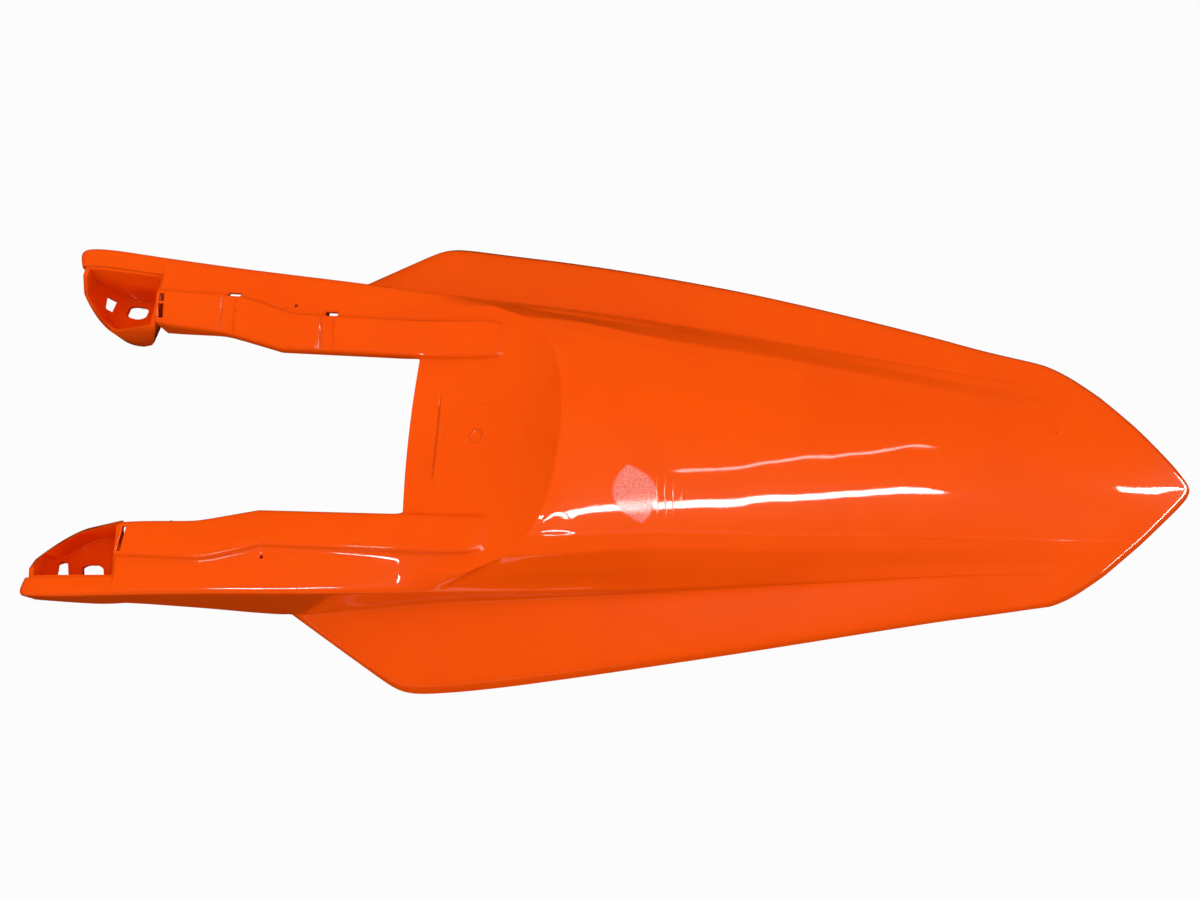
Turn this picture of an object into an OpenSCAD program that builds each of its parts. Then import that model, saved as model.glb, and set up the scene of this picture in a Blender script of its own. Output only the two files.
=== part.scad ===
// Rear fender of an off-road motorcycle, moulded in one piece.
// Lies as it rests: on its two wing corners and its tail tip.
// X runs to the tail tip, Y to the right-hand side of the machine.

/* [Overall lengths] */
// Length of the two arms, from their tips to the front of the seat plate
arm_length = 235; // [190:5:280]
// Length of the seat plate along the middle, up to the crest
seat_length = 100; // [80:2:130]
// Length of the tail, from the crest to the tip
tail_length = 378.5; // [320:5:450]

/* [Widths] */
// Half of the width over the arm tips
arm_half_width = 113; // [100:1:126]
// Half of the gap between the arms
gap_half_width = 49.8; // [40:0.2:58]
// Reach of each wing beyond the arm's edge line, at the wing corner
wing_reach = 57.5; // [45:0.5:70]
// Width of the flat strip beside each front pocket
strip_width = 10.5; // [8:0.5:13]
// Width of the raised channel on each arm
channel_width = 22; // [17:0.5:26]
// Half of the width over the two rear corners
tail_half_width = 77; // [66:1:88]

/* [Heights] */
// Height of the crest above the ground
crest_height = 105; // [95:1:115]
// Depth of the outer skirt of an arm where the wing begins
skirt_depth = 54; // [45:1:60]
// Sideways lean of the skirt for each millimetre of depth
skirt_lean = 0.14; // [0.1:0.01:0.25]
// Height of the step beside the raised channel
step_height = 5; // [2:0.5:7]
// Depth of the inner wall of an arm
inner_depth = 7; // [5:0.5:13]
// Height of the lip turned down along the wings
lip_height = 8.5; // [5:0.5:11]

/* [Walls] */
// Wall thickness of the moulding
wall = 2.8; // [2:0.1:3.6]
// Thickness of the ribs
rib_wall = 2; // [1.4:0.1:3]
// Radius of the outer edge of an arm
edge_round = 1.6; // [0.8:0.1:2.4]

/* [Front pockets] */
// Length of a pocket along the arm
pocket_length = 62; // [52:1:70]
// Width of a pocket across the arm
pocket_width = 38; // [32:1:44]
// Depth of a pocket below the arm's edge
pocket_depth = 53; // [44:1:62]
// Sideways slope of a pocket's floor, for each millimetre across
floor_slope = 0.3; // [0:0.02:0.4]
// Wall thickness of a pocket
pocket_wall = 2.6; // [2:0.1:3.4]
// Radius of the round corner of a pocket
pocket_round = 29; // [22:1:32]
// Length of the drain window in a pocket's floor
window_length = 13.5; // [10:0.5:18]
// Width of the drain window in a pocket's floor
window_width = 10; // [7:0.5:13]

/* [Holes and bands] */
// Diameter of the pilot hole on each arm
pilot_hole = 2.4; // [1.8:0.1:3.6]
// Outer diameter of the collar under a pilot hole
pilot_collar = 7; // [5:0.5:9]
// Length of a pilot hole, collar included
pilot_length = 7; // [5:0.5:10]
// Length of a strap slot in the right arm
slot_length = 8; // [5:0.5:11]
// Width of a strap slot in the right arm
slot_width = 3.4; // [2:0.2:5]
// Width of a strap band across the right arm
band_width = 8.6; // [6:0.2:10]
// Depth of a strap band below the channel's top
band_depth = 0.9; // [0.4:0.1:1.5]

/* [Hidden] */
$fn = 48;
plastic = "#FF5A00";

// Shape lines. The first number is the place along the fender, from 0 at the arm
// tips through 235 at the plate and 335 at the crest to 714 at the tail tip.
edge_taper = [[0, 0], [20, 0.2], [60, 3.8], [110, 8], [190, 13.5], [262, 19],
    [335, 24.4], [415, 31.7], [500, 40.7], [560, 48.2], [590, 52]];
edge_height = [[0, 82], [8, 87], [20, 88], [60, 83.5], [110, 78], [190, 69.5], [240, 64],
    [300, 60], [335, 57.5], [370, 54], [415, 47.8], [460, 41.3], [500, 34.8], [560, 27.4], [590, 23]];
skirt_share = [[0, 0.22], [24, 0.32], [45, 0.47], [60, 0.43], [100, 0.68], [152, 1], [188, 0.79],
    [216, 0.66], [250, 0.49], [293, 0.39], [335, 0.33], [384, 0.23], [416, 0.16], [452, 0.09],
    [500, 0.04], [560, 0.02], [590, 0.015]];
wing_share = [[150, 0.1], [200, 0.688], [222, 0.94], [228, 0.98], [236, 0.998], [248, 1], [280, 0.965],
    [335, 0.87], [404, 0.74], [460, 0.64], [520, 0.52], [560, 0.455]];
wing_edge_height = [[150, 14.5], [200, 6], [228, 1.4], [248, 0], [280, 1.5], [306, 5.4], [335, 9.2],
    [363, 12.4], [404, 16], [444, 18], [483, 18], [522, 16.4], [560, 13.8], [623, 8]];
lip_share = [[150, 0.2], [200, 0.5], [228, 0.95], [250, 1], [400, 0.75], [500, 0.55], [623, 0.45]];
inner_shape = [[60, 14.5], [74, 12.8], [107, 10.8], [144, 1.8], [235, 0], [335, 0]];
inner_height = [[60, 83.8], [74, 81.8], [107, 77.6], [144, 74.6], [235, 73.8], [300, 71.5]];
inner_wall_share = [[60, 2.8], [74, 2.1], [107, 1], [335, 1]];
channel_share = [[60, 0.98], [70, 1.03], [108, 1.09], [150, 1.03], [264, 1.06], [335, 0.95]];
crease_height = [[60, 87.8], [70, 87.3], [105, 84], [119, 82.4], [150, 80.4], [169, 79.2],
    [235, 76.3], [300, 74]];
// How far the inner rails lead the outer ones, so that the channel bends aslant
inner_lead = [[0, 0], [78, 0], [95, 3], [119, 11], [134, 9], [150, 6], [168, 0]];
soft_line = [[300, 74], [359, 67.3], [416, 63.2], [475, 59], [530, 53.4], [560, 50.4], [590, 47]];
middle_profile = [[335, 1], [400, 0.842], [460, 0.697], [520, 0.545], [560, 0.441], [600, 0.342],
    [640, 0.253], [670, 0.19], [690, 0.138], [705, 0.085], [714, 0.0445]];
crest_line = [[0, 335], [33, 331.5], [50, 325], [60, 318.5], [68, 312.5], [74, 304], [80, 291],
    [84, 281], [94, 262]];
trailing_line = [[0, 714], [5, 710.5], [12, 704], [36, 680.5], [57, 658], [68, 643.5], [74, 633.5],
    [77, 623]];
trailing_end = trailing_line[len(trailing_line) - 1][0];
crown_drop = 0.0041;
tail_drop = 0.0034;
plate_height = 66.8;
plate_dish = 0.0013;
plate_bow = 2.8;
channel_foot = 60;
crest_strip_height = 74.5;
lip_lean = 0.3;

// Places of the zones along the fender
channel_start = 62;
wing_start = 150;
plate_start = 235;
corner_place = 262;
crest_place = 335;
deck_end = 560;
corner_end = 623;
tip_place = 714;

// Stations across the fender, zone by zone. The first one is the foot of the arms' end wall.
arm_places = [0, 0, 4.5, 8, 16, 30, 46, 62, 68, 78, 86, 95, 107, 119, 127, 134, 142, 150, 159, 168, 184,
    200, 214, 222, 228, 235];
seat_steps = [0.12, 0.3, 0.42, 0.49, 0.53, 0.57, 0.61, 0.65, 0.72, 0.84, 0.93, 1];
deck_steps = [0.06, 0.14, 0.22, 0.3, 0.4, 0.5, 0.6, 0.7, 0.8, 0.9, 1];
tail_steps = [0.16, 0.32, 0.48, 0.62, 0.75, 0.86, 0.94, 1];
n_arm = len(arm_places);
n_seat = n_arm + len(seat_steps);
n_deck = n_seat + len(deck_steps);
// The last station is the turned-down rim behind the trailing line
n_rim = n_deck + len(tail_steps);
n_all = n_rim + 1;

// Rails from the middle out. The plate's rails come first, then those named here.
plate_rails = [0, 0.17, 0.34, 0.52, 0.7, 0.86, 0.97];
plate_places = [0, 8.5, 17, 26, 35, 42, 48.5];
inner_foot = len(plate_rails);
inner_top = inner_foot + 1;
channel_middle = inner_foot + 2;
crease_top = inner_foot + 3;
crease_foot = inner_foot + 4;
strip_rail = inner_foot + 5;
edge_rail = inner_foot + 6;
edge_side = inner_foot + 7;
skirt_foot = inner_foot + 8;
wing_inner = inner_foot + 9;
wing_outer = inner_foot + 10;
lip_rail = inner_foot + 11;
last_rail = inner_foot + 12;
// Where the rails meet the crest: distance from the middle, with the gap's edge at crest_gap
crest_gap = 50;
crest_soft = 74;
crest_edge = 94;
crest_rails = concat(plate_places, [54, 60, 63.5, 67, crest_soft, 84, crest_edge]);

function mix(a, b, t) = a + (b - a) * t;
function limit(v, lo, hi) = max(lo, min(hi, v));
function span(p, x, i = 0) = i >= len(p) - 2 || x < p[i + 1][0] ? i : span(p, x, i + 1);
function slope(p, i) = let(a = max(0, i - 1), b = min(len(p) - 1, i + 1))
    (p[b][1] - p[a][1]) / (p[b][0] - p[a][0]);
// Smooth curve through the points of a shape line
function curve(p, x) =
    let(
        q = limit(x, p[0][0], p[len(p) - 1][0]),
        i = span(p, q),
        h = p[i + 1][0] - p[i][0],
        t = (q - p[i][0]) / h,
        u = 1 - t
    )
    p[i][1] * (1 + 2 * t) * u * u + p[i + 1][1] * (3 - 2 * t) * t * t
        + h * (slope(p, i) * t * u * u - slope(p, i + 1) * t * t * u);
// Place along the fender at its real length
function run(x) = lookup(x, [[0, 0], [plate_start, arm_length], [crest_place, arm_length + seat_length],
    [tip_place, arm_length + seat_length + tail_length]]);

function edge_y(x) = arm_half_width - curve(edge_taper, x);
function edge_z(x) = curve(edge_height, x);
function skirt(x) = skirt_depth * curve(skirt_share, x);
function foot_y(x) = edge_y(x) + skirt_lean * skirt(x);
function foot_z(x) = edge_z(x) - skirt(x);
function wing_y(x) = edge_y(x) + wing_reach * curve(wing_share, x);
function wing_z(x) = curve(wing_edge_height, x);
function lip(x) = lip_height * curve(lip_share, x);
function inner_y(x) = gap_half_width + lookup(x, inner_shape);
function inner_foot_z(x) = lookup(x, inner_height) - inner_depth * lookup(x, inner_wall_share);
function crease_y(x, lead = 0) = inner_y(x - lead) + channel_width * lookup(x, channel_share);
function middle_z(x) = crest_height * curve(middle_profile, x);
function crown_z(x, y) = middle_z(x) - crown_drop * y * y;
function plate_z(y) = plate_height + plate_dish * y * y;
// The rounding of the edge fades out with the skirt
function edge_fade(x) = edge_round * limit(skirt(x) / 8, 0, 1);
// How far the rounded front end of an arm has begun, from 1 at the tip to 0
function nose(x) = limit(1 - x / 8, 0, 1);
function crest_y(j) = j < inner_foot ? gap_half_width * crest_rails[j] / crest_gap
    : mix(gap_half_width, edge_y(corner_place), (crest_rails[j] - crest_gap) / (crest_edge - crest_gap));
function crest_z(j) = j < strip_rail ? crown_z(crest_place, crest_rails[j])
    : j == strip_rail ? crest_strip_height : edge_z(corner_place);

// Edge, skirt, wing and lip points are worked out alike at every station
function outer_point(x, j) =
    let(
        fy = foot_y(x),
        fz = foot_z(x),
        wy = wing_y(x) - lip_lean * lip(x),
        wz = wing_z(x) + lip(x)
    )
    j == edge_rail ? [x + 2 * nose(x), edge_y(x) - edge_fade(x) * 0.6, edge_z(x)]
    : j == edge_side ? [x + 4 * nose(x), edge_y(x) + min(edge_fade(x), skirt_lean * skirt(x)) * 0.5,
        edge_z(x) - min(edge_round, skirt(x) * 0.5)]
    : j == skirt_foot ? [x + 6 * nose(x), fy, fz]
    : j == wing_inner ? [x, mix(fy, wy, 0.45), mix(fz, wz, 0.45) + 0.4]
    : j == wing_outer ? [x, mix(fy, wy, 0.8), mix(fz, wz, 0.8) + 0.3]
    : j == lip_rail ? [x, wy, wz]
    : [x, wing_y(x), wing_z(x)];

function strip_z(x) = edge_z(x) - 3.4 * (1 - 0.6 * nose(x));
function arm_point(x, j) =
    let(
        xi = x - lookup(x, inner_lead),
        cy = crease_y(x, x - xi),
        cz = lookup(x, crease_height),
        top = lookup(xi, inner_height)
    )
    j < inner_foot ? [x - plate_bow * (1 - pow(plate_rails[j], 2)), gap_half_width * plate_rails[j],
        plate_z(gap_half_width * plate_rails[j])]
    : j == inner_foot ? [xi, inner_y(xi), x == plate_start ? plate_z(gap_half_width) : inner_foot_z(xi)]
    : j == inner_top ? [xi, inner_y(xi) + 0.6, top]
    : j == channel_middle ? [(x + xi) / 2, (inner_y(xi) + cy) / 2, (top + cz) / 2 + 0.4]
    : j == crease_top ? [x, cy, cz]
    : j == crease_foot ? [x, cy + 1.2, cz - step_height]
    : x < channel_start ? [x, edge_y(x) - strip_width, strip_z(x)]
    : [x, mix(cy + 1.2, edge_y(x), 0.5), mix(cz - step_height, edge_z(x), 0.5) - 0.2];

// Each channel ends in a rounded nose on the rising seat
channel_nose = 287;
channel_nose_y = 61;
function channel_rise(x, y) = limit((channel_nose - 0.09 * pow(y - channel_nose_y, 2) - x) / 3, 0, 1);
function seat_point(s, j) =
    let(
        start = arm_point(plate_start, j),
        x = mix(start[0], lookup(crest_rails[j], crest_line), s),
        flat_y = j < inner_foot ? start[1]
            : j < channel_middle ? inner_y(plate_start) + (j == inner_foot ? 0 : 0.6)
            : j == channel_middle ? (inner_y(plate_start) + crease_y(x)) / 2
            : crease_y(x) + (j == crease_foot ? 1.2 : 0),
        y = j < strip_rail ? mix(flat_y, crest_y(j), limit((s - 0.55) / 0.45, 0, 1))
            : mix(start[1], crest_y(j), s),
        base = mix(plate_z(min(start[1], channel_foot)), crest_z(j), pow(s, 2.7)),
        rise = channel_rise(x, y)
    )
    j <= inner_foot ? [x, y, base]
    : j == inner_top ? [x, y, base + rise * 3.4]
    : j == channel_middle ? [x, y, base + rise * (3.8 + step_height) / 2]
    : j == crease_top ? [x, y, base + rise * step_height]
    : j == crease_foot ? [x, y, base + (1 - s) * crease_drop]
    : [x, y, mix(start[2], crest_z(j), pow(s, 1.8))];
crease_drop = lookup(plate_start, crease_height) - step_height - plate_z(channel_foot);

function deck_point(s, j) =
    let(
        x = mix(lookup(crest_rails[j], crest_line), deck_end, s),
        soft = curve(soft_line, x),
        settle = limit(s / 0.3, 0, 1),
        xd = max(x, crest_place),
        y = mix(crest_y(j), soft * crest_rails[j] / crest_soft, settle)
    )
    j < strip_rail ? [x, y, crown_z(xd, y)]
    : [x, mix(mix(crest_y(crease_foot), soft, settle), edge_y(x), 0.52),
        mix(crown_z(xd, soft), edge_z(x), 0.5) - 1.5 * s];

function tail_point(s, j) =
    let(
        a = j >= edge_rail ? outer_point(deck_end, min(j, lip_rail)) : deck_point(1, j),
        yt = a[1] * tail_half_width / wing_y(deck_end),
        xt = lookup(yt * trailing_end / tail_half_width, trailing_line) - lip_lean * lip(corner_end),
        x = mix(deck_end, xt, s),
        y = mix(a[1], yt, s),
        drop = mix(middle_z(deck_end) - a[2], tail_drop * y * y, limit(s * 1.2, 0, 1)),
        curl = 0.8 * pow(limit((s - 0.9) / 0.1, 0, 1), 2),
        fall = mix(lip(deck_end), lip(corner_end), s)
    )
    j == last_rail ? [x, y + lip_lean * fall, middle_z(x) - drop - curl - fall]
    : [x, y, middle_z(x) - drop - curl];
// Outward direction in plan at the trailing line
function outwards(j) =
    let(t = tail_point(1, min(j + 1, lip_rail)) - tail_point(1, max(min(j, lip_rail) - 1, 0)))
    j == 0 ? [1, 0, 0] : [t[1], -t[0], 0] / norm([t[0], t[1]]);
function rim_point(j) = tail_point(1, min(j, lip_rail)) + lip(corner_end) * (lip_lean * outwards(j) - [0, 0, 1]);

function rail_point(i, j) =
    i == 0 ? let(p = rail_point(1, j)) [p[0], p[1], foot_z(0) - 1]
    : i == n_rim || (i == n_rim - 1 && j == last_rail) ? rim_point(j)
    : i >= n_deck ? tail_point(tail_steps[i - n_deck], j)
    : j >= edge_rail ? outer_point(
        i < n_arm ? arm_places[i]
        : i < n_seat ? mix(plate_start, corner_place, seat_steps[i - n_arm])
        : mix(corner_place, deck_end, deck_steps[i - n_seat]), j)
    : i < n_arm ? arm_point(arm_places[i], j)
    : i < n_seat ? seat_point(seat_steps[i - n_arm], j)
    : deck_point(deck_steps[i - n_seat], j);

// Half section of one station, and the same section moved in by the wall
function half_section(i) = [for (j = [0:last_rail]) rail_point(i, j)];
function flat_unit(v) = let(l = norm([v[1], v[2]])) l < 0.001 ? [1, 0] : [v[1], v[2]] / l;
function inward(s, j) =
    let(
        a = j == 0 ? [1, 0] : flat_unit(s[j] - s[j - 1]),
        b = j == len(s) - 1 ? a : flat_unit(s[j + 1] - s[j]),
        t = j == 0 ? [1, 0] : a + b
    )
    j == last_rail ? [0, -1, 0] : [0, t[1], -t[0]] / norm(t);
function inner_section(s, i) = [for (j = [0:last_rail]) s[j] + wall * (
    i == 0 ? [1, j < edge_rail ? 0 : j == edge_rail ? -0.7 : -1, 0]
    : i == 1 ? inward(s, j) + [1, 0, 0]
    : i == n_rim || (i == n_rim - 1 && j == last_rail) ? -outwards(j)
    : i == n_rim - 1 ? -outwards(j) - [0, 0, 0.65]
    : inward(s, j))];

function both_sides(s) = concat(
    [for (j = [len(s) - 1:-1:1]) [s[j][0], -s[j][1], s[j][2]]], s);
rails = 2 * last_rail + 1;
function real(p) = [run(p[0]), p[1], p[2]];

// A cell of the sheet is there unless it lies in the gap, before the channel or before the wing
function present(i, v) =
    let(j = v >= last_rail ? v - last_rail : last_rail - 1 - v, x = arm_places[min(i, n_arm - 1)])
    i < 0 || i >= n_all - 1 || v < 0 || v >= rails - 1 ? false
    : j < inner_foot ? x >= plate_start
    : j < strip_rail ? x >= channel_start
    : j < skirt_foot || x >= wing_start;
// At the rear corners the lip and the rim share their lowest point
function corner_cell(i, v) = i == n_rim - 1 && (v == 0 || v == rails - 2);
function point_index(i, v) = i == n_rim && v <= 1 ? (n_rim - 1) * rails
    : i == n_rim && v >= rails - 2 ? n_rim * rails - 1
    : i * rails + v;

module shell_sheet() {
    halves = [for (i = [0:n_all - 1]) half_section(i)];
    outer = [for (i = [0:n_all - 1]) for (p = both_sides(halves[i])) real(p)];
    inner = [for (i = [0:n_all - 1]) for (p = both_sides(inner_section(halves[i], i))) real(p)];
    below = len(outer);
    faces = [
        for (i = [0:n_all - 2]) for (v = [0:rails - 2]) if (present(i, v) && !corner_cell(i, v))
            let(
                a = point_index(i, v),
                b = point_index(i, v + 1),
                c = point_index(i + 1, v + 1),
                d = point_index(i + 1, v)
            )
            each concat(
                [[a, b, c], [a, c, d], [a + below, c + below, b + below], [a + below, d + below, c + below]],
                present(i - 1, v) ? [] : [[a, a + below, b + below], [a, b + below, b]],
                present(i + 1, v) ? [] : [[d, c, c + below], [d, c + below, d + below]],
                present(i, v - 1) ? [] : [[a, d, d + below], [a, d + below, a + below]],
                present(i, v + 1) ? [] : [[b, b + below, c + below], [b, c + below, c]]
            )
    ];
    polyhedron(concat(outer, inner), faces, convexity = 10);
}

// Frame of the right arm: X along its outer edge, Y across it towards the outside
edge_turn = atan2(edge_y(0) - edge_y(110), run(110));
module along_right_arm() {
    translate([0, arm_half_width, 0])
        rotate([0, 0, -edge_turn])
            children();
}
module on_both_sides() {
    children();
    mirror([0, 1, 0])
        children();
}

pocket_rib = 5;
// Front pocket: a bucket with a rounded nose, cut open along one slanting rim plane
pocket_start = 1;
pocket_side = strip_width - 2.5;
pocket_round_used = min(pocket_round, pocket_width - pocket_wall - 1, pocket_length - pocket_wall - 1);
// Side view of a pocket: share of its length, and share of its depth below the arm's edge
pocket_side_view = [[0.14, -0.25], [0.02, 0.2], [0.0, 0.34], [0.025, 0.54], [0.075, 0.77], [0.16, 0.93],
    [0.3, 1], [0.52, 1], [0.65, 0.9], [0.74, 0.76], [0.97, 0.25], [1, 0.12], [1, -0.25]];

module pocket_plan(inset) {
    far_side = -pocket_side - pocket_width;
    r = pocket_round_used;
    intersection() {
        translate([pocket_start + r, far_side + r])
            circle(r - inset);
        translate([pocket_start, far_side])
            square(r + 0.01);
    }
    translate([pocket_start + inset, far_side + r])
        square([pocket_length - 2 * inset, pocket_width - r - inset]);
    translate([pocket_start + r, far_side + inset])
        square([pocket_length - r - inset, pocket_width - 2 * inset]);
}

// The floor slopes about this line across the pocket
floor_level_y = pocket_side + pocket_width * 0.74;
module pocket_body(inset) {
    intersection() {
        linear_extrude(edge_z(30) + pocket_depth)
            pocket_plan(inset);
        multmatrix([[1, 0, 0, 0], [0, 1, 0, 1], [0, -floor_slope, 1, -floor_slope * floor_level_y]])
            rotate([90, 0, 0])
                linear_extrude(pocket_width * 2)
                    offset(delta = -inset)
                        polygon([for (p = pocket_side_view)
                            [pocket_start + p[0] * pocket_length, edge_z(60) - p[1] * pocket_depth]]);
    }
}

// Drain window in the floor and a smaller one in the nose, with a rib left between them
module pocket_windows() {
    window_x = pocket_start + pocket_length * 0.22;
    window_y = -pocket_side - pocket_width * 0.38;
    half = window_width / 2;
    middle = window_length * 0.4;
    translate([window_x, window_y, 0])
        linear_extrude(edge_z(30) - pocket_depth * 0.5)
            intersection() {
                translate([0, -half])
                    square([window_length, window_width]);
                translate([middle, 0])
                    scale([window_length - middle, half * 1.15])
                        circle(1);
            }
    translate([window_x - pocket_rib, window_y, 0])
        linear_extrude(edge_z(30) - pocket_depth * 0.75)
            polygon([[0, half * 0.8], [0, -half], [-window_length * 0.2, -half],
                [-window_length * 0.4, -half * 0.2], [-window_length * 0.44, half * 0.6],
                [-window_length * 0.38, half * 0.8]]);
}

module front_pocket() {
    difference() {
        along_right_arm()
            difference() {
                pocket_body(0);
                pocket_body(pocket_wall);
                translate([0, 0, pocket_wall * 2])
                    pocket_body(pocket_wall);
                pocket_windows();
                translate([pocket_start + 7, -pocket_side - 6, edge_z(30) - 3])
                    rotate([0, rim_polar, rim_turn])
                        translate([-rim_reach, -rim_reach, 0])
                            cube(2 * rim_reach);
            }
        pocket_trim();
    }
}
rim_polar = 55.5;
rim_turn = -114.5;
rim_reach = 120;

// Everything above the underside of the strip is cut off the pocket
module pocket_trim() {
    places = [0, 8, 20, 40, 60, 80];
    rotate([90, 0, 0])
        translate([0, 0, -arm_half_width * 1.5])
            linear_extrude(arm_half_width * 1.5)
                polygon(concat(
                    [for (x = places) [run(x) - (x == 0 ? 10 : 0), edge_z(max(x, 8)) - 3.4 - wall * 0.6]],
                    [[run(80), 140], [-10, 140]]
                ));
}

// Cross rib inside an arm, its top edge buried in the middle of the wall
rib_places = [90, 128, 170, 210];
module cross_rib(x) {
    cy = crease_y(x);
    cz = lookup(x, crease_height);
    iy = inner_y(x);
    iz = lookup(x, inner_height);
    translate([run(x) + rib_wall / 2, 0, 0])
        rotate([90, 0, -90])
            linear_extrude(rib_wall)
                mirror([1, 0])
                    polygon([
                        [iy + wall * 0.5, iz - inner_depth * 0.9],
                        [iy + wall * 0.3, iz - inner_depth * 0.7],
                        [iy + wall * 0.9, iz - wall * 0.6],
                        [cy - wall * 0.4, cz - wall * 0.6],
                        [cy - wall * 0.4, cz - step_height - wall * 0.6],
                        [mix(cy, edge_y(x), 0.5), mix(cz - step_height, edge_z(x), 0.5) - wall * 0.6],
                        [edge_y(x) - edge_round, edge_z(x) - wall * 0.6],
                        [edge_y(x) + skirt_lean * inner_depth, edge_z(x) - inner_depth]
                    ]);
}

// Pilot holes beside the step, each with a collar under it
pilot_place = 151;
pilot_y = 81.4;
pilot_top = 75;
module pilot_collars() {
    on_both_sides()
        translate([run(pilot_place), pilot_y, pilot_top - pilot_length])
            cylinder(h = pilot_length - wall * 0.4, d = pilot_collar);
}
module pilot_holes() {
    on_both_sides()
        translate([run(pilot_place), pilot_y, pilot_top - pilot_length * 1.5])
            cylinder(h = pilot_length * 2.5, d = pilot_hole);
}

// Strap bands across the channel of the right arm: place, and how far the inner end lies ahead
strap_bands = [[109.4, 2], [174, -1.5]];
module strap_slots() {
    for (b = strap_bands)
        translate([run(b[0] + 1.4) - slot_length / 2, crease_y(b[0] + 1.4) + 0.8, inner_height[2][1] - 12])
            cube([slot_length, slot_width, 24]);
}
// The shallow band itself, its floor parallel to the channel's top
module strap_recess(b) {
    ends = [-1, 1] * band_width / 2;
    over = 1.2;
    corners = [for (e = ends) for (side = [0, 1])
        let(
            x = b[0] + e - (1 - side) * b[1],
            low = lookup(x, inner_height),
            high = lookup(x, crease_height),
            y = side == 0 ? inner_y(x) - over : crease_y(x) + over,
            tilt = (high - low) / (crease_y(x) - inner_y(x))
        )
        [run(x), y, (side == 0 ? low - tilt * over : high + tilt * over) - band_depth]];
    above = [for (c = corners) c + [0, 0, 12]];
    polyhedron(concat(corners, above),
        [[0, 1, 3], [0, 3, 2], [4, 7, 5], [4, 6, 7], [0, 5, 1], [0, 4, 5],
            [2, 3, 7], [2, 7, 6], [0, 2, 6], [0, 6, 4], [1, 5, 7], [1, 7, 3]]);
}

// Slot across the front end of each channel
front_slot = 3.5;
module channel_slots() {
    on_both_sides()
        translate([run(channel_start) + 1.4, inner_y(channel_start) + 4, inner_height[0][1] - 12])
            cube([front_slot, channel_width * 0.72, 24]);
}

module rear_fender() {
    color(plastic)
        translate([-run(tip_place) / 2, 0, 0])
            difference() {
                union() {
                    shell_sheet();
                    on_both_sides()
                        front_pocket();
                    on_both_sides()
                        for (x = rib_places)
                            cross_rib(x);
                    pilot_collars();
                }
                pilot_holes();
                strap_slots();
                for (b = strap_bands)
                    strap_recess(b);
                channel_slots();
            }
}

rear_fender();
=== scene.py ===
import math
import bpy
import bmesh
import numpy as np
from mathutils import Matrix, Vector


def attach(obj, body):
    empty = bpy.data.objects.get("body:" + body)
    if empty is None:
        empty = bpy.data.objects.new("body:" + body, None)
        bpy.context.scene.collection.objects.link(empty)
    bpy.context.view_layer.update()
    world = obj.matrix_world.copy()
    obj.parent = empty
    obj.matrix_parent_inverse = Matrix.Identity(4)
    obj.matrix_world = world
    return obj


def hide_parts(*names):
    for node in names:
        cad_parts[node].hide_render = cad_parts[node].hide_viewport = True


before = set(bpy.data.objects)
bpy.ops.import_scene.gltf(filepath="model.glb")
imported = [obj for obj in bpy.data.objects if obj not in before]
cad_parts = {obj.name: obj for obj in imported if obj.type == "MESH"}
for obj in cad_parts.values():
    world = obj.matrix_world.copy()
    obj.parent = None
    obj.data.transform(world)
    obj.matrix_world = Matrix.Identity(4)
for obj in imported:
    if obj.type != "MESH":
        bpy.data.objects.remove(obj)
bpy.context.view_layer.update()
millimetre = 0.001  # every size below is in millimetres
print("frame loaded")

# The camera looks down on the fender from its left-hand side
camera = {"place": (102.8, -190.8, 793.8), "turn": (14.803, 7.303, 4.075), "lens": 37.5}

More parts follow.
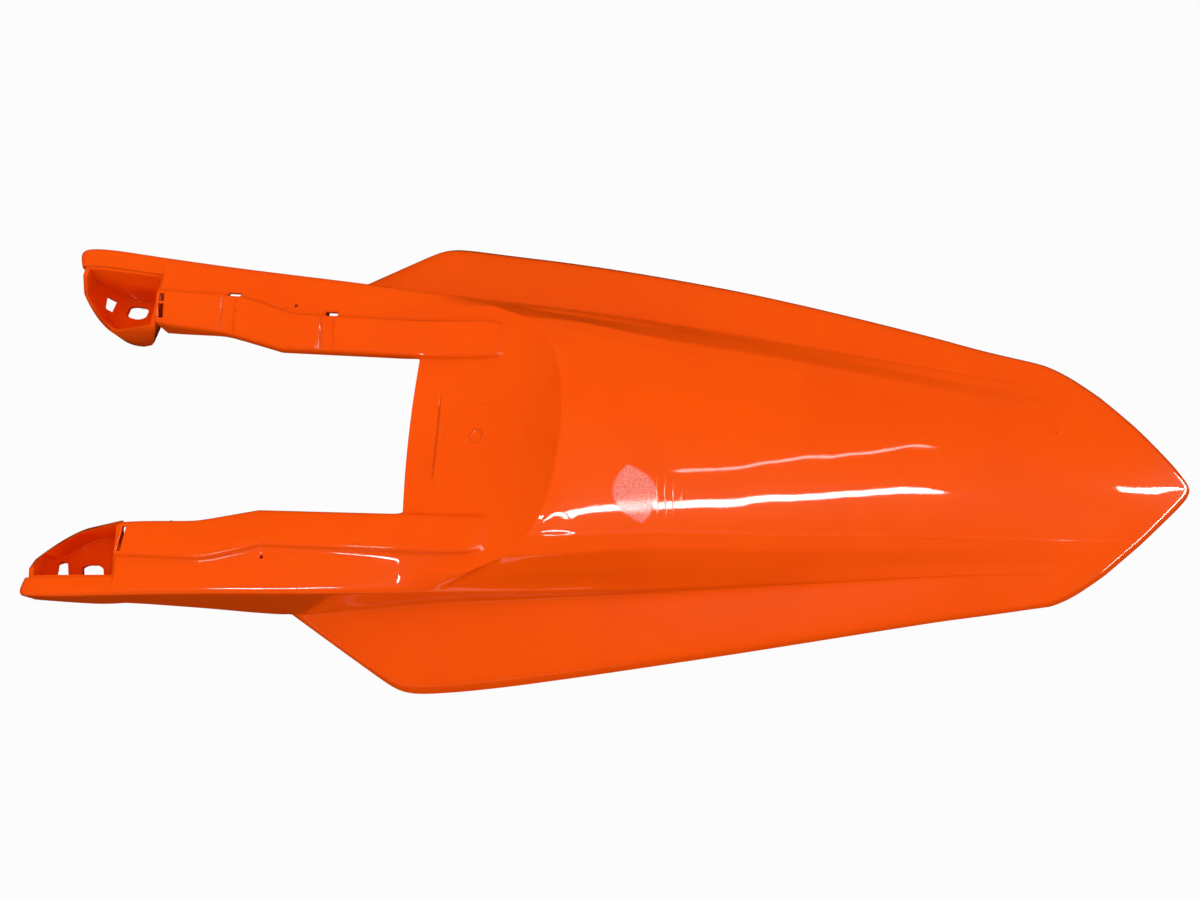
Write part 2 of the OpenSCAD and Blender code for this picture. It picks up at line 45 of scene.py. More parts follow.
# Shape lines. The first number is the place along the fender, from 0 at the arm tips
# through 235 at the seat plate and 335 at the crest to 714 at the tail tip
lines = {
    "edgeTaper": [(0, 0), (20, 0.2), (60, 3.8), (110, 8), (190, 13.5), (262, 19), (335, 24.4),
                  (415, 31.7), (500, 40.7), (560, 48.2), (590, 52)],
    "edgeHeight": [(0, 82), (8, 87), (20, 88), (60, 83.5), (110, 78), (190, 69.5), (240, 64), (300, 60),
                   (335, 57.5), (370, 54), (415, 47.8), (460, 41.3), (500, 34.8), (560, 27.4), (590, 23)],
    "skirt": [(0, 0.22), (24, 0.32), (45, 0.47), (60, 0.43), (100, 0.68), (152, 1), (188, 0.79),
              (216, 0.66), (250, 0.49), (293, 0.39), (335, 0.33), (384, 0.23), (416, 0.16), (452, 0.09),
              (500, 0.04), (560, 0.02), (590, 0.015)],
    "wing": [(150, 0.1), (200, 0.688), (222, 0.94), (228, 0.98), (236, 0.998), (248, 1), (280, 0.965),
             (335, 0.87), (404, 0.74), (460, 0.64), (520, 0.52), (560, 0.455)],
    "wingHeight": [(150, 14.5), (200, 6), (228, 1.4), (248, 0), (280, 1.5), (306, 5.4), (335, 9.2),
                   (363, 12.4), (404, 16), (444, 18), (483, 18), (522, 16.4), (560, 13.8), (623, 8)],
    "lip": [(150, 0.2), (200, 0.5), (228, 0.95), (250, 1), (400, 0.75), (500, 0.55), (623, 0.45)],
    "inner": [(60, 14.5), (74, 12.8), (107, 10.8), (144, 1.8), (235, 0), (335, 0)],
    "innerHeight": [(60, 83.8), (74, 81.8), (107, 77.6), (144, 74.6), (235, 73.8), (300, 71.5)],
    "innerWall": [(60, 2.8), (74, 2.1), (107, 1), (335, 1)],
    "channel": [(60, 0.98), (70, 1.03), (108, 1.09), (150, 1.03), (264, 1.06), (335, 0.95)],
    "creaseHeight": [(60, 87.8), (70, 87.3), (105, 84), (119, 82.4), (150, 80.4), (169, 79.2),
                     (235, 76.3), (300, 74)],
    "lead": [(0, 0), (78, 0), (95, 3), (119, 11), (134, 9), (150, 6), (168, 0)],
    "soft": [(300, 74), (359, 67.3), (416, 63.2), (475, 59), (530, 53.4), (560, 50.4), (590, 47)],
    "middle": [(335, 1), (400, 0.842), (460, 0.697), (520, 0.545), (560, 0.441), (600, 0.342),
               (640, 0.253), (670, 0.19), (690, 0.138), (705, 0.085), (714, 0.0445)],
    "crest": [(0, 335), (33, 331.5), (50, 325), (60, 318.5), (68, 312.5), (74, 304), (80, 291),
              (84, 281), (94, 262)],
    "trailing": [(0, 714), (5, 710.5), (12, 704), (36, 680.5), (57, 658), (68, 643.5), (74, 633.5),
                 (77, 623)],
}

# A section has 17 points from the middle outwards: 0 to 4 on the seat plate, 5 and 6 at the foot and
# the top of the arm's inner wall, 7 and 8 down the step beside the channel, 9 on the outer strip,
# 10 to 12 down the skirt, 13 and 14 on the wing, 15 and 16 at the ridge and the foot of the lip
shell = {
    "armLength": 235, "seatLength": 100, "tailLength": 378.5, "wall": 2.8,
    "armHalf": 113, "gapHalf": 49.8, "wingReach": 57.5, "strip": 10.5, "channel": 22, "tailHalf": 77,
    "crestHeight": 105, "skirtDepth": 54, "skirtLean": 0.14, "step": 5, "innerDepth": 7,
    "lip": 8.5, "lipLean": 0.48, "edgeRound": 2.4, "wallLean": 0.6, "stepRun": 1.2, "stripDrop": 3.4,
    "crestStripHeight": 74.5, "wingShares": (0.45, 0.8), "wingBulges": (0.4, 0.3),
    "plateHeight": 66.8, "plateDish": 0.0013, "plateDishEnd": 60, "plateBow": 2.8,
    "crownDrop": 0.0041, "tailDrop": 0.0034, "tailSettle": 1.2,
    "deckSag": 1.5, "tailSag": 0.8, "sagFrom": 0.9,
    "plateStart": 235, "crestPlace": 335, "deckEnd": 560, "tip": 714, "corner": 262,
    "channelStart": 62, "wingStart": 150, "cornerEnd": 623,
    "channelNose": 298, "noseRamp": 4.5, "noseAcross": 61, "noseBow": 0.09, "noseStep": 3.4,
    "widenFrom": 0.55, "plateCurve": 2.7, "stripCurve": 1.8, "settleShare": 0.3,
    "plateRails": [0, 0.25, 0.5, 0.75, 0.97],
    "crestRails": [0, 12.5, 25, 37, 48, 54, 60, 67, 74, 84, 94],
    "convexRound": 1.7, "concaveRound": 1.2, "rimSupport": 1.1,
    "tipLength": 8, "tipBacks": {"strip": 3, "edge": 0.8, "skirt": 2.6, "foot": 9}, "tipReach": 2.4,
    "armPlaces": [1.7, 4.5, 8, 16, 30, 46, 60.8, 62, 63.2, 70, 78, 95, 107, 119, 134, 148.6, 150, 151.5,
                  168, 184, 200, 212, 221, 228, 235],
    "seatSteps": [0.03, 0.12, 0.28, 0.42, 0.54, 0.6, 0.64, 0.68, 0.72, 0.76, 0.81, 0.88, 0.95, 0.985, 1],
    "deckSteps": [0.008, 0.03, 0.09, 0.16, 0.3, 0.45, 0.6, 0.8, 1],
    "tailSteps": [0.2, 0.4, 0.6, 0.78, 0.9, 0.97],
    "rimCrease": 0.35, "levels": 2, "mostStretch": 1.4, "leastShare": 0.1,
}


# Smooth curve through the points of a shape line
def smooth(name, x):
    points = lines[name]
    xs = [p[0] for p in points]
    ys = [p[1] for p in points]
    x = min(max(x, xs[0]), xs[-1])
    i = max(0, min(len(xs) - 2, sum(1 for v in xs if v <= x) - 1))

    def slope(k):
        a = max(0, k - 1)
        b = min(len(xs) - 1, k + 1)
        return (ys[b] - ys[a]) / (xs[b] - xs[a])

    h = xs[i + 1] - xs[i]
    t = (x - xs[i]) / h
    u = 1 - t
    return (ys[i] * (1 + 2 * t) * u * u + ys[i + 1] * (3 - 2 * t) * t * t
            + h * (slope(i) * t * u * u - slope(i + 1) * t * t * u))


def straight(name, x):
    return float(np.interp(x, [p[0] for p in lines[name]], [p[1] for p in lines[name]]))


def limit(value, low, high):
    return max(low, min(high, value))


def mix(a, b, t):
    return a + (b - a) * t


# Place along the real fender, with the middle of its length at 0
def run(x):
    s = shell
    crest = s["armLength"] + s["seatLength"]
    ends = [0, s["armLength"], crest, crest + s["tailLength"]]
    return float(np.interp(x, [0, s["plateStart"], s["crestPlace"], s["tip"]], ends)) - ends[-1] / 2


def edgeY(x):
    return shell["armHalf"] - smooth("edgeTaper", x)


def edgeZ(x):
    return smooth("edgeHeight", x)


def skirtDepth(x):
    return shell["skirtDepth"] * smooth("skirt", x)


def lipHeight(x):
    return shell["lip"] * smooth("lip", x)


def wingY(x):
    return edgeY(x) + shell["wingReach"] * smooth("wing", x)


def innerY(x):
    return shell["gapHalf"] + straight("inner", x)


def innerFootZ(x):
    return straight("innerHeight", x) - shell["innerDepth"] * straight("innerWall", x)


def creaseY(x, lead=0):
    return innerY(x - lead) + shell["channel"] * straight("channel", x)


def middleZ(x):
    return shell["crestHeight"] * smooth("middle", x)


def crownZ(x, y):
    return middleZ(x) - shell["crownDrop"] * y * y


def plateZ(y):
    return shell["plateHeight"] + shell["plateDish"] * y * y


# How much of the rounding of the arm tip is left at a place: 1 at the tip, 0 behind it
def tipShare(x):
    return limit(1 - x / shell["tipLength"], 0, 1)


def tipBack(x, rail):
    return shell["tipBacks"][rail] * tipShare(x)


def stripDrop(x):
    return shell["stripDrop"] * (1 - 0.6 * tipShare(x))


def crestY(j):
    rails = shell["crestRails"]
    if j < 5:
        return shell["gapHalf"] * rails[j] / 50
    end = edgeY(shell["corner"])
    return mix(shell["gapHalf"], end, (rails[j] - 50) / 44) if j < 10 else end


def crestZ(j):
    if j < 9:
        return crownZ(shell["crestPlace"], shell["crestRails"][j])
    return shell["crestStripHeight"] if j == 9 else edgeZ(shell["corner"])


# Skirt, wing and lip have the same section from the arms to the deck's end
def outerPoint(x, j):
    s = shell
    footY = edgeY(x) + s["skirtLean"] * skirtDepth(x)
    footZ = edgeZ(x) - skirtDepth(x)
    ridgeY = wingY(x) - s["lipLean"] * lipHeight(x)
    ridgeZ = smooth("wingHeight", x) + lipHeight(x)
    fade = s["edgeRound"] * limit(skirtDepth(x) / 8, 0, 1)
    if j == 10:
        return (x + tipBack(x, "edge"), edgeY(x) - fade * 0.6, edgeZ(x))
    if j == 11:
        return (x + tipBack(x, "skirt"), edgeY(x) + min(fade, s["skirtLean"] * skirtDepth(x)) * 0.5,
                edgeZ(x) - min(s["edgeRound"], skirtDepth(x) * 0.5))
    if j == 12:
        return (x + tipBack(x, "foot"), footY, footZ)
    if j < 15:
        share = s["wingShares"][j - 13]
        return (x, mix(footY, ridgeY, share), mix(footZ, ridgeZ, share) + s["wingBulges"][j - 13])
    if j == 15:
        return (x, ridgeY, ridgeZ)
    return (x, wingY(x), smooth("wingHeight", x))


def armPoint(x, j):
    s = shell
    lead = straight("lead", x)
    inner = x - lead
    creaseTop = straight("creaseHeight", x)
    crease = creaseY(x, lead)
    if j < 5:
        share = s["plateRails"][j]
        return (x - s["plateBow"] * (1 - share ** 2), s["gapHalf"] * share, plateZ(s["gapHalf"] * share))
    if j == 5:
        low = plateZ(s["gapHalf"]) if x >= s["plateStart"] else innerFootZ(inner)
        return (inner, innerY(inner), low)
    if j == 6:
        return (inner, innerY(inner) + s["wallLean"], straight("innerHeight", inner))
    if j == 7:
        return (x, crease, creaseTop)
    if j == 8:
        return (x, crease + s["stepRun"], creaseTop - s["step"])
    if x < s["channelStart"]:
        return (x + tipBack(x, "strip"), edgeY(x) - s["strip"], edgeZ(x) - stripDrop(x))
    return (x, mix(crease + s["stepRun"], edgeY(x), 0.5), mix(creaseTop - s["step"], edgeZ(x), 0.5) - 0.2)


# Each channel ends in a rounded nose on the rising seat
def channelRise(x, y):
    s = shell
    end = s["channelNose"] - s["noseBow"] * (y - s["noseAcross"]) ** 2
    return limit((end - x) / s["noseRamp"], 0, 1)


def seatPoint(t, j):
    s = shell
    start = armPoint(s["plateStart"], j)
    x = mix(start[0], straight("crest", s["crestRails"][j]), t)
    if j < 5:
        flatY = start[1]
    elif j < 7:
        flatY = innerY(s["plateStart"]) + (0 if j == 5 else s["wallLean"])
    else:
        flatY = creaseY(x) + (s["stepRun"] if j == 8 else 0)
    widen = limit((t - s["widenFrom"]) / (1 - s["widenFrom"]), 0, 1)
    y = mix(flatY, crestY(j), widen) if j < 9 else mix(start[1], crestY(j), t)
    dishEnd = s["plateDishEnd"]
    base = mix(plateZ(min(start[1], dishEnd)), crestZ(j), t ** s["plateCurve"])
    rise = channelRise(x, y)
    creaseFoot = straight("creaseHeight", s["plateStart"]) - s["step"] - plateZ(dishEnd)
    if j < 6:
        return (x, y, base)
    if j == 6:
        return (x, y, base + rise * s["noseStep"])
    if j == 7:
        return (x, y, base + rise * s["step"])
    if j == 8:
        return (x, y, base + (1 - t) * creaseFoot)
    return (x, y, mix(start[2], crestZ(j), t ** s["stripCurve"]))


def deckPoint(t, j):
    s = shell
    rails = s["crestRails"]
    x = mix(straight("crest", rails[j]), s["deckEnd"], t)
    soft = smooth("soft", x)
    settle = limit(t / s["settleShare"], 0, 1)
    crown = max(x, s["crestPlace"])
    if j < 9:
        y = mix(crestY(j), soft * rails[j] / rails[8], settle)
        return (x, y, crownZ(crown, y))
    return (x, mix(mix(crestY(8), soft, settle), edgeY(x), 0.52),
            mix(crownZ(crown, soft), edgeZ(x), 0.5) - s["deckSag"] * t)


def tailPoint(t, j):
    s = shell
    end = s["deckEnd"]
    a = outerPoint(end, min(j, 15)) if j > 9 else deckPoint(1, j)
    reach = wingY(end)
    back = straight("trailing", s["tailHalf"] * a[1] / reach) - s["lipLean"] * lipHeight(s["cornerEnd"])
    if j == 0:
        back += s["tipReach"]  # what the subdivision takes off the point
    x = mix(end, back, t)
    y = mix(a[1], a[1] * s["tailHalf"] / reach, t)
    fall = mix(lipHeight(end), lipHeight(s["cornerEnd"]), t)
    drop = mix(middleZ(end) - a[2], s["tailDrop"] * y * y, limit(t * s["tailSettle"], 0, 1))
    sag = s["tailSag"] * limit((t - s["sagFrom"]) / (1 - s["sagFrom"]), 0, 1) ** 2
    z = middleZ(x) - drop - sag
    return (x, y + s["lipLean"] * fall, z - fall) if j == 16 else (x, y, z)


# The rim turned down behind the trailing line
def rimPoint(j):
    a = Vector(tailPoint(1, max(min(j, 15) - 1, 0)))
    b = Vector(tailPoint(1, min(j + 1, 15)))
    out = Vector((1, 0, 0)) if j == 0 else Vector((b.y - a.y, a.x - b.x, 0)).normalized()
    fall = lipHeight(shell["cornerEnd"])
    return Vector(tailPoint(1, min(j, 15))) + fall * (shell["lipLean"] * out - Vector((0, 0, 1)))


def section(inner, x):
    return [inner(j) if j < 10 else outerPoint(x, j) for j in range(17)]


# Every station across the fender: its place, and the points of its right half
def stationList():
    s = shell
    stations = [(x, section(lambda j: armPoint(x, j), x)) for x in s["armPlaces"]]
    for t in s["seatSteps"]:
        x = mix(s["plateStart"], s["corner"], t)
        stations.append((s["plateStart"] + t, section(lambda j: seatPoint(t, j), x)))
    for t in s["deckSteps"]:
        x = mix(s["corner"], s["deckEnd"], t)
        stations.append((s["crestPlace"] + t, section(lambda j: deckPoint(t, j), x)))
    for t in s["tailSteps"]:
        stations.append((s["deckEnd"] + t, [tailPoint(t, j) for j in range(17)]))
    return stations


# Splits each corner of a section into two points, so that subdivision rounds it off
def roundedSection(place, section):
    s = shell
    points = [Vector((run(p[0]), p[1], p[2])) for p in section]

    def toward(a, b, distance):
        gap = points[b] - points[a]
        return points[a] + gap * min(distance / max(gap.length, 0.001), 0.4)

    def pair(j, distance):
        return [toward(j, j - 1, distance), toward(j, j + 1, distance)]

    rails = [(p, j) for j, p in enumerate(points[:5])]

    def add(j, made):
        rails.extend((p, c) for p, c in zip(made, j))

    if place < s["plateStart"]:
        add((5, 5), [points[5], toward(5, 6, s["rimSupport"])])
    else:
        add((5, 5), pair(5, s["concaveRound"]))
    inner = pair(6, s["convexRound"])
    outer = pair(7, s["convexRound"])
    add((5, 6), inner)
    add((6,), [(inner[1] + outer[0]) / 2 + Vector((0, 0, 0.25))])
    add((6, 7), outer)
    add((7, 8), pair(8, s["concaveRound"]))
    add((9, 9), [points[9], toward(9, 10, s["rimSupport"])])
    add((10, 11, 11), [points[10], points[11], toward(11, 12, s["convexRound"])])
    if place < s["wingStart"]:
        add((11, 12), [toward(12, 11, s["rimSupport"]), points[12]])
    else:
        add((11, 12), pair(12, s["concaveRound"]))
    add((13, 14), [points[13], points[14]])
    add((14, 15), pair(15, s["convexRound"]))
    add((15, 16), [toward(16, 15, s["rimSupport"]), points[16]])
    return rails


def cellThere(place, cell):
    s = shell
    if cell < 5:
        return place >= s["plateStart"]
    if cell < 9:
        return place >= s["channelStart"]
    return cell < 12 or place >= s["wingStart"]


def meshObject(name, vertices, faces):
    mesh = bpy.data.meshes.new(name)
    mesh.from_pydata([Vector(v) * millimetre for v in vertices], [], faces)
    mesh.update()
    made = bpy.data.objects.new(name, mesh)
    bpy.context.scene.collection.objects.link(made)
    return made


def applyModifiers(piece):
    graph = bpy.context.evaluated_depsgraph_get()
    finished = bpy.data.meshes.new_from_object(piece.evaluated_get(graph))
    piece.modifiers.clear()
    piece.data = finished


# Gives the sheet its wall: an inner copy, and a narrow strip round every free edge.
# Where a bend is tighter than the wall, the inner points would swap over: they meet halfway
def giveWall(piece, wall):
    edit = bmesh.new()
    edit.from_mesh(piece.data)
    edit.normal_update()
    crease = edit.edges.layers.float.new("crease_edge")
    stretch = shell["mostStretch"]
    place = {v: v.co - v.normal * wall * min(v.calc_shell_factor(), stretch) for v in edit.verts}
    for turn in range(4):
        for e in edit.edges:
            a, b = e.verts
            along = b.co - a.co
            if (place[b] - place[a]).dot(along) < shell["leastShare"] * along.length_squared:
                middle = (place[a] + place[b]) / 2
                place[a] = middle - along * 0.06
                place[b] = middle + along * 0.06
    inner = {v: edit.verts.new((p.x, p.y, max(p.z, 0))) for v, p in place.items()}
    rim = [(e.verts[0], e.verts[1], e.link_faces[0]) for e in edit.edges if e.is_boundary]
    for face in list(edit.faces):
        edit.faces.new([inner[v] for v in reversed(face.verts)])
    for a, b, face in rim:
        corners = list(face.verts)
        forward = corners[(corners.index(a) + 1) % len(corners)] == b
        first, second = (b, a) if forward else (a, b)
        edit.faces.new((first, second, inner[second], inner[first]))
        edit.edges.get((a, b))[crease] = shell["rimCrease"]
        edit.edges.get((inner[a], inner[b]))[crease] = shell["rimCrease"]
    edit.to_mesh(piece.data)
    edit.free()


# Points of one section, placed at their real length, with its corners rounded off
def rails(place, points):
    return [p for p, cell in roundedSection(place, points)]


# The grid of the sheet. Three stations in front make the end walls of the arms, and the last four
# the turned-down rim. At the corners they share the last points of the skirt and of the lip
def shellGrid():
    s = shell
    stations = stationList()
    kinds = [cell for p, cell in roundedSection(0, stations[0][1])]
    skirt = kinds.index(11)
    lip = len(kinds) - 4
    grid = [rails(place, points) for place, points in stations]
    tip = rails(0, section(lambda j: armPoint(0, j), 0))
    foot = edgeZ(0) - skirtDepth(0)
    grid[0] = grid[0][:skirt] + [(grid[0][skirt] + tip[skirt]) / 2] + tip[skirt + 1:]
    front = []
    for down in (foot, foot + s["rimSupport"], None):
        front.append([Vector((p.x, p.y, p.z - s["convexRound"] if down is None else down)) for p in tip])
    edge = rails(s["tip"], [tailPoint(1, j) for j in range(16)] + [rimPoint(15)])
    rim = rails(s["tip"], [rimPoint(j) for j in range(16)] + [rimPoint(15) - Vector((0, 0, 1))])
    last = []
    for r, p in enumerate(edge):
        back = grid[-1][r] - p
        last.append(p + back * min(1, s["convexRound"] / back.length) if r <= lip else p)
    grid.append(last)
    for r in (0, 1, 2):
        way = [b - a for a, b in zip(edge, rim)]
        share = [s["convexRound"] / way[0].length, 1 - s["rimSupport"] / way[0].length, 1][r]
        grid.append([a + w * share for a, w in zip(edge, way)])
    grid = front + grid
    places = [0] * 3 + [place for place, points in stations] + [s["tip"]] * 4
    return grid, places, kinds, skirt, lip


def makeShell():
    grid, places, kinds, skirt, lip = shellGrid()
    count = len(grid)
    ids = {}
    vertices = []

    def vertex(i, r, side):
        if i < 3 and r == skirt:
            i, r = 3, skirt + 3 - i
        if i > count - 4 and r == lip:
            i, r = count - 4, lip + i - (count - 4)
        key = (i, r, side if r else 0)
        if key not in ids:
            ids[key] = len(vertices)
            p = grid[i][r]
            vertices.append((p.x, p.y * side, p.z))
        return ids[key]

    faces = []
    for i in range(count - 1):
        for r in range(len(kinds) - 1):
            there = cellThere(places[i], kinds[r])
            if i < 3:
                there = there and r < skirt
            if i >= count - 4:
                there = r < lip
            for side in (1, -1) if there else ():
                around = ((i, r), (i + 1, r), (i + 1, r + 1), (i, r + 1))
                corners = [vertex(a, b, side) for a, b in around]
                faces.append(corners if side == 1 else corners[::-1])
    piece = meshObject("rearFender", vertices, faces)
    giveWall(piece, shell["wall"] * millimetre)
    finer = piece.modifiers.new("finer", "SUBSURF")
    finer.levels = finer.render_levels = shell["levels"]
    finer.use_limit_surface = False
    applyModifiers(piece)
    print("shell made", len(piece.data.polygons))
    return piece


fender = makeShell()


def addSolid(name, vertices, faces):
    made = meshObject(name, vertices, faces)
    edit = bmesh.new()
    edit.from_mesh(made.data)
    bmesh.ops.recalc_face_normals(edit, faces=edit.faces)
    edit.to_mesh(made.data)
    edit.free()
    return made


# A flat outline pulled out between two heights; lift turns (u, v, height) into a point
def prism(name, outline, low, high, lift=lambda u, v, h: (u, v, h)):
    n = len(outline)
    vertices = [lift(u, v, low) for u, v in outline] + [lift(u, v, high) for u, v in outline]
    sides = [(i, (i + 1) % n, n + (i + 1) % n, n + i) for i in range(n)]
    return addSolid(name, vertices, sides + [tuple(range(n)), tuple(range(n, 2 * n))])


def arc(centre, radius, start, end, steps):
    angles = np.radians(np.linspace(start, end, steps + 1))
    return [(centre[0] + radius * math.cos(a), centre[1] + radius * math.sin(a)) for a in angles]


# Adds, cuts or keeps what two solids share, and drops the second
def combine(target, tool, operation="DIFFERENCE"):
    step = target.modifiers.new("combine", "BOOLEAN")
    step.operation = operation
    step.solver = "EXACT"
    step.object = tool
    bpy.context.view_layer.update()
    applyModifiers(target)
    bpy.data.objects.remove(tool)


def roundEdges(piece, width, segments, angle=35):
    step = piece.modifiers.new("round", "BEVEL")
    step.width = width * millimetre
    step.segments = segments
    step.limit_method = "ANGLE"
    step.angle_limit = math.radians(angle)
    bpy.context.view_layer.update()
    applyModifiers(piece)


# Moves an outline in by a wall, each corner along its own bisector
def inset(outline, wall):
    made = []
    turn = sum(a[0] * b[1] - b[0] * a[1] for a, b in zip(outline, outline[1:] + outline[:1]))
    for i, p in enumerate(outline):
        a = Vector(p) - Vector(outline[i - 1])
        b = Vector(outline[(i + 1) % len(outline)]) - Vector(p)
        a.normalize()
        b.normalize()
        normal = Vector((-a.y - b.y, a.x + b.x)) * (1 if turn > 0 else -1)
        made.append(tuple(Vector(p) + normal * wall / max(1 + a.dot(b), 0.3)))
    return made


# Front pockets: rounded buckets under the arm tips, each cut open along one slanting rim plane.
# The side view gives shares of the length, and of the depth below the arm's edge
pocket = {
    "start": 1, "length": 62, "width": 38, "depth": 53, "wall": 3.1, "corner": 29, "stripShare": 2.5,
    "sideView": [(0.14, -0.25), (0.02, 0.2), (0.0, 0.34), (0.025, 0.54), (0.075, 0.77), (0.16, 0.93),
                 (0.3, 1), (0.52, 1), (0.65, 0.9), (0.74, 0.76), (0.97, 0.25), (1, 0.12), (1, -0.25)],
    "floorSlope": 0.3, "levelShare": 0.74, "floorRound": 4, "cornerSteps": 14, "blockTop": 150,
    "midPlace": 30, "rimPlace": (7, 6, 3), "rimPolar": 55.5, "rimTurn": -114.5, "rimReach": 120,
    "rimRound": 0.9,
    "windowLength": 13.5, "windowWidth": 10, "windowPlace": 0.2, "windowAcross": 0.34, "rib": 5,
    "windowMiddle": 0.48, "windowRadii": (0.58, 1.04),
    "smallOutline": [(0, 0.8), (0, -1), (-0.2, -1), (-0.4, -0.2), (-0.44, 0.6), (-0.38, 0.8)],
    "stripPlaces": [0, 4, 8, 20, 40, 60, 80], "stripOver": 10,
}


def pocketBody(inward):
    k = pocket
    side = shell["strip"] - k["stripShare"]
    far = -side - k["width"]
    r = k["corner"]
    end = k["start"] + k["length"]
    plan = arc((k["start"] + r, far + r), r - inward, 180, 270, k["cornerSteps"])
    plan += [(end - inward, far + inward), (end - inward, -side - inward),
             (k["start"] + inward, -side - inward)]
    body = prism("pocketBody", plan, 0, k["blockTop"])
    profile = [(k["start"] + a * k["length"], edgeZ(60) - b * k["depth"]) for a, b in k["sideView"]]
    profile = inset(profile, inward) if inward else profile
    level = side + k["width"] * k["levelShare"]

    def slanting(u, v, h):
        return (u, h, v - k["floorSlope"] * (h + level))

    combine(body, prism("pocketSide", profile, -100, 1, slanting), "INTERSECT")
    roundEdges(body, k["floorRound"] - inward, 3)
    return body


# The larger window is arched, with its ends cut off straight. The smaller one is in the nose
def cutWindows(bucket, side):
    k = pocket
    x = k["start"] + k["length"] * k["windowPlace"]
    y = -side - k["width"] * k["windowAcross"]
    a = k["windowLength"]
    b = k["windowWidth"] / 2
    middle = x + a * k["windowMiddle"]
    wide, high = k["windowRadii"]
    turns = np.radians(range(0, 360, 10))
    oval = [(middle + a * wide * math.cos(t), y + b * high * math.sin(t)) for t in turns]
    larger = [(limit(u, x, x + a), limit(v, y - b, y + b)) for u, v in oval]
    combine(bucket, prism("largerWindow", larger, 0, edgeZ(k["midPlace"]) - k["depth"] * 0.5))
    smaller = [(x - k["rib"] + a * u, y + b * v) for u, v in k["smallOutline"]]
    combine(bucket, prism("smallerWindow", smaller, 0, edgeZ(k["midPlace"]) - k["depth"] * 0.75))


# Takes off everything above the slanting rim plane
def cutRim(bucket, side):
    k = pocket
    reach = k["rimReach"]
    square = [(-reach, -reach), (reach, -reach), (reach, reach), (-reach, reach)]
    above = prism("aboveRim", square, 0, 2 * reach)
    behind, inwards, below = k["rimPlace"]
    place = Vector((k["start"] + behind, -side - inwards, edgeZ(k["midPlace"]) - below)) * millimetre
    turn = Matrix.Rotation(math.radians(k["rimTurn"]), 4, "Z")
    tilt = Matrix.Rotation(math.radians(k["rimPolar"]), 4, "Y")
    above.data.transform(Matrix.Translation(place) @ turn @ tilt)
    combine(bucket, above)


# Takes off everything above the underside of the outer strip
def cutStrip(bucket):
    k = pocket
    first, last = k["stripPlaces"][0], k["stripPlaces"][-1]
    under = shell["wall"] * 0.6
    top = [(run(x) - (k["stripOver"] if x == first else 0), edgeZ(x) - stripDrop(x) - under)
           for x in k["stripPlaces"]]
    top += [(run(last), k["blockTop"]), (run(first) - k["stripOver"], k["blockTop"])]
    combine(bucket, prism("aboveStrip", top, 0, k["blockTop"], lambda u, v, h: (u, h, v)))


def makePocket():
    k = pocket
    side = shell["strip"] - k["stripShare"]
    bucket = pocketBody(0)
    combine(bucket, pocketBody(k["wall"]))
    cutWindows(bucket, side)
    cutRim(bucket, side)
    turn = math.atan2(edgeY(0) - edgeY(110), run(110) - run(0))
    bucket.data.transform(Matrix.Translation(Vector((run(0), shell["armHalf"], 0)) * millimetre)
                          @ Matrix.Rotation(-turn, 4, "Z"))
    cutStrip(bucket)
    roundEdges(bucket, k["rimRound"], 2, 45)
    print("pocket made", len(bucket.data.polygons))
    return bucket


def mirrored(piece):
    copy = bpy.data.objects.new(piece.name, piece.data.copy())
    bpy.context.scene.collection.objects.link(copy)
    copy.data.transform(Matrix.Scale(-1, 4, (0, 1, 0)))
    copy.data.flip_normals()
    return copy


# Ribs across the underside of each arm, and a collar under each pilot hole
inside = {"ribPlaces": [90, 128, 170, 210], "ribWall": 2, "pilotPlace": 151, "pilotAcross": 81.4,
          "pilotTop": 75, "pilotLength": 7, "pilotHole": 2.4, "collar": 7, "drillFrom": 60, "drillTo": 90}


def makeRib(x):
    s = shell
    w = s["wall"]
    crease = creaseY(x)
    top = straight("creaseHeight", x)
    innerTop = straight("innerHeight", x)
    inner = innerY(x)
    under = w * 0.6  # the rib's top lies within the wall
    outline = [(inner, innerTop - s["innerDepth"] * 0.7), (inner + w * 0.9, innerTop - under),
               (crease - w * 0.4, top - under), (crease - w * 0.4, top - s["step"] - under),
               (mix(crease, edgeY(x), 0.5), mix(top - s["step"], edgeZ(x), 0.5) - under),
               (edgeY(x) - s["edgeRound"], edgeZ(x) - under),
               (edgeY(x) + s["skirtLean"] * s["innerDepth"], edgeZ(x) - s["innerDepth"]),
               (inner + w * 0.5, innerTop - s["innerDepth"] * 0.9)]
    half = inside["ribWall"] / 2
    return prism("rib", outline, run(x) - half, run(x) + half, lambda u, v, h: (h, u, v))


def disc(x, y, radius, low, high, steps=24):
    return prism("disc", arc((x, y), radius, 0, 360 - 360 / steps, steps - 1), low, high)


def addToFender(piece):
    for solid in (mirrored(piece), piece):
        combine(fender, solid, "UNION")


addToFender(makePocket())
for place in inside["ribPlaces"]:
    addToFender(makeRib(place))
pilot = (run(inside["pilotPlace"]), inside["pilotAcross"])
addToFender(disc(*pilot, inside["collar"] / 2, inside["pilotTop"] - inside["pilotLength"],
                 inside["pilotTop"] - shell["wall"] * 0.4))
for y in (pilot[1], -pilot[1]):
    drill = disc(pilot[0], y, inside["pilotHole"] / 2, inside["drillFrom"], inside["drillTo"])
    combine(fender, drill)

